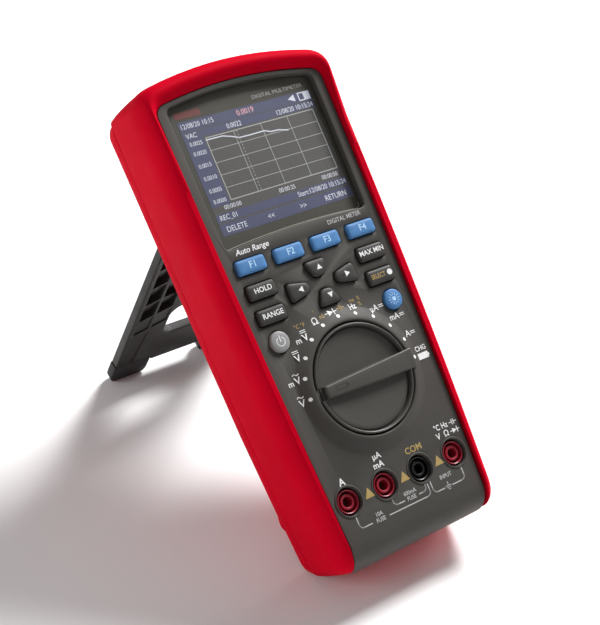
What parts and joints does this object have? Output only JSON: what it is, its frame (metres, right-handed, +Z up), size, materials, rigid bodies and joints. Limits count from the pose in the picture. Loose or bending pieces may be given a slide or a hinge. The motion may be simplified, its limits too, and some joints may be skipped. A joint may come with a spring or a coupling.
{
  "type": "handheld multimeter",
  "caption": "Hand-held data-logging multimeter with a colour screen, rubber keys, a rotary selector, test-lead sockets and a rear kickstand that folds.",
  "frame": {"origin": "centre of the bounding box on the surface that the heel of the case and the two stand feet rest on, with the stand open", "axes": "+X to the right as the user faces the screen, +Y away from the user, +Z up; the face leans back, its long side about 47 degrees above the table"},
  "size_m": [0.098, 0.2036, 0.1856],
  "materials": {
    "red_shell": "satin soft-touch overmould",
    "panel": "fine matt texture",
    "knob": "satin",
    "seal_rubber": "matt",
    "lens": "clear, polished",
    "lcd": "glossy display",
    "silicone": "matt",
    "dark_plastic": "matt",
    "steel": "brushed",
    "brass": "polished",
    "circuit_board": "solder resist",
    "ceramic": "glazed",
    "battery_wrap": "shrink wrap",
    "stand_plastic": "fine matt texture",
    "foot_rubber": "matt",
    "black_key": "satin",
    "blue_key": "satin",
    "grey_key": "satin",
    "red_jack": "satin",
    "black_jack": "satin"
  },
  "bodies": {
    "meter": {"amp_jack_shroud": "red_jack", "amp_jack_socket": "brass", "battery_contact_left": "brass", "battery_contact_right": "brass", "battery_cover": "dark_plastic", "battery_pack": "battery_wrap", "board_connector": "dark_plastic", "buzzer": "dark_plastic", "case_screw_lower_left": "steel", "case_screw_lower_right": "steel", "case_screw_upper_left": "steel", "case_screw_upper_right": "steel", "case_seal": "seal_rubber", "common_jack_shroud": "black_jack", "common_jack_socket": "brass", "cover_screw_left": "steel", "cover_screw_right": "steel", "detent_spring": "steel", "display_lens": "lens", "front_case": "panel", "fuse_1": "ceramic", "fuse_1_lower_clip": "brass", "fuse_1_upper_clip": "brass", "fuse_2": "ceramic", "fuse_2_lower_clip": "brass", "fuse_2_upper_clip": "brass", "hinge_pin": "steel", "input_board": "circuit_board", "keypad_mat": "silicone", "knob_seal": "seal_rubber", "lcd_module": "lcd", "main_board": "circuit_board", "milliamp_jack_shroud": "red_jack", "milliamp_jack_socket": "brass", "rear_case": "red_shell", "shield_can": "steel", "side_shell": "red_shell", "volt_jack_shroud": "red_jack", "volt_jack_socket": "brass"},
    "selector": {"selector_knob": "knob", "knob_shaft": "dark_plastic", "contact_rotor": "dark_plastic"},
    "stand": {"kickstand": "stand_plastic", "stand_foot_left": "foot_rubber", "stand_foot_right": "foot_rubber"},
    "function_button_1": {"function_key_1": "blue_key"},
    "function_button_2": {"function_key_2": "blue_key"},
    "function_button_3": {"function_key_3": "blue_key"},
    "function_button_4": {"function_key_4": "blue_key"},
    "hold_button": {"hold_key": "black_key"},
    "range_button": {"range_key": "black_key"},
    "max_min_button": {"max_min_key": "black_key"},
    "select_button": {"select_key": "black_key"},
    "power_button": {"power_key": "grey_key"},
    "lamp_button": {"lamp_key": "blue_key"},
    "up_button": {"up_key": "black_key"},
    "down_button": {"down_key": "black_key"},
    "left_button": {"left_key": "black_key"},
    "right_button": {"right_key": "black_key"}
  },
  "joints": [
    {"name": "stand_fold", "type": "hinge", "parent": "meter", "child": "stand", "pos_m": [0, 0.03794, 0.11356], "axis": [1, 0, 0], "range_deg": [-71.7, 0]},
    {"name": "selector_turn", "type": "hinge", "parent": "meter", "child": "selector", "pos_m": [0, -0.05606, 0.077], "axis": [0, -0.729, 0.6845], "range_deg": [0, 180]},
    {"name": "function_press_1", "type": "slide", "parent": "meter", "child": "function_button_1", "axis": [0, 0.729, -0.6845], "range_m": [0, 0.001], "stiffness_N_per_m": 600, "springref_m": -0.0005},
    {"name": "function_press_2", "type": "slide", "parent": "meter", "child": "function_button_2", "axis": [0, 0.729, -0.6845], "range_m": [0, 0.001], "stiffness_N_per_m": 600, "springref_m": -0.0005},
    {"name": "function_press_3", "type": "slide", "parent": "meter", "child": "function_button_3", "axis": [0, 0.729, -0.6845], "range_m": [0, 0.001], "stiffness_N_per_m": 600, "springref_m": -0.0005},
    {"name": "function_press_4", "type": "slide", "parent": "meter", "child": "function_button_4", "axis": [0, 0.729, -0.6845], "range_m": [0, 0.001], "stiffness_N_per_m": 600, "springref_m": -0.0005},
    {"name": "hold_press", "type": "slide", "parent": "meter", "child": "hold_button", "axis": [0, 0.729, -0.6845], "range_m": [0, 0.001], "stiffness_N_per_m": 600, "springref_m": -0.0005},
    {"name": "range_press", "type": "slide", "parent": "meter", "child": "range_button", "axis": [0, 0.729, -0.6845], "range_m": [0, 0.001], "stiffness_N_per_m": 600, "springref_m": -0.0005},
    {"name": "max_min_press", "type": "slide", "parent": "meter", "child": "max_min_button", "axis": [0, 0.729, -0.6845], "range_m": [0, 0.001], "stiffness_N_per_m": 600, "springref_m": -0.0005},
    {"name": "select_press", "type": "slide", "parent": "meter", "child": "select_button", "axis": [0, 0.729, -0.6845], "range_m": [0, 0.001], "stiffness_N_per_m": 600, "springref_m": -0.0005},
    {"name": "power_press", "type": "slide", "parent": "meter", "child": "power_button", "axis": [0, 0.729, -0.6845], "range_m": [0, 0.001], "stiffness_N_per_m": 600, "springref_m": -0.0005},
    {"name": "lamp_press", "type": "slide", "parent": "meter", "child": "lamp_button", "axis": [0, 0.729, -0.6845], "range_m": [0, 0.001], "stiffness_N_per_m": 600, "springref_m": -0.0005},
    {"name": "up_press", "type": "slide", "parent": "meter", "child": "up_button", "axis": [0, 0.729, -0.6845], "range_m": [0, 0.001], "stiffness_N_per_m": 600, "springref_m": -0.0005},
    {"name": "down_press", "type": "slide", "parent": "meter", "child": "down_button", "axis": [0, 0.729, -0.6845], "range_m": [0, 0.001], "stiffness_N_per_m": 600, "springref_m": -0.0005},
    {"name": "left_press", "type": "slide", "parent": "meter", "child": "left_button", "axis": [0, 0.729, -0.6845], "range_m": [0, 0.001], "stiffness_N_per_m": 600, "springref_m": -0.0005},
    {"name": "right_press", "type": "slide", "parent": "meter", "child": "right_button", "axis": [0, 0.729, -0.6845], "range_m": [0, 0.001], "stiffness_N_per_m": 600, "springref_m": -0.0005}
  ]
}
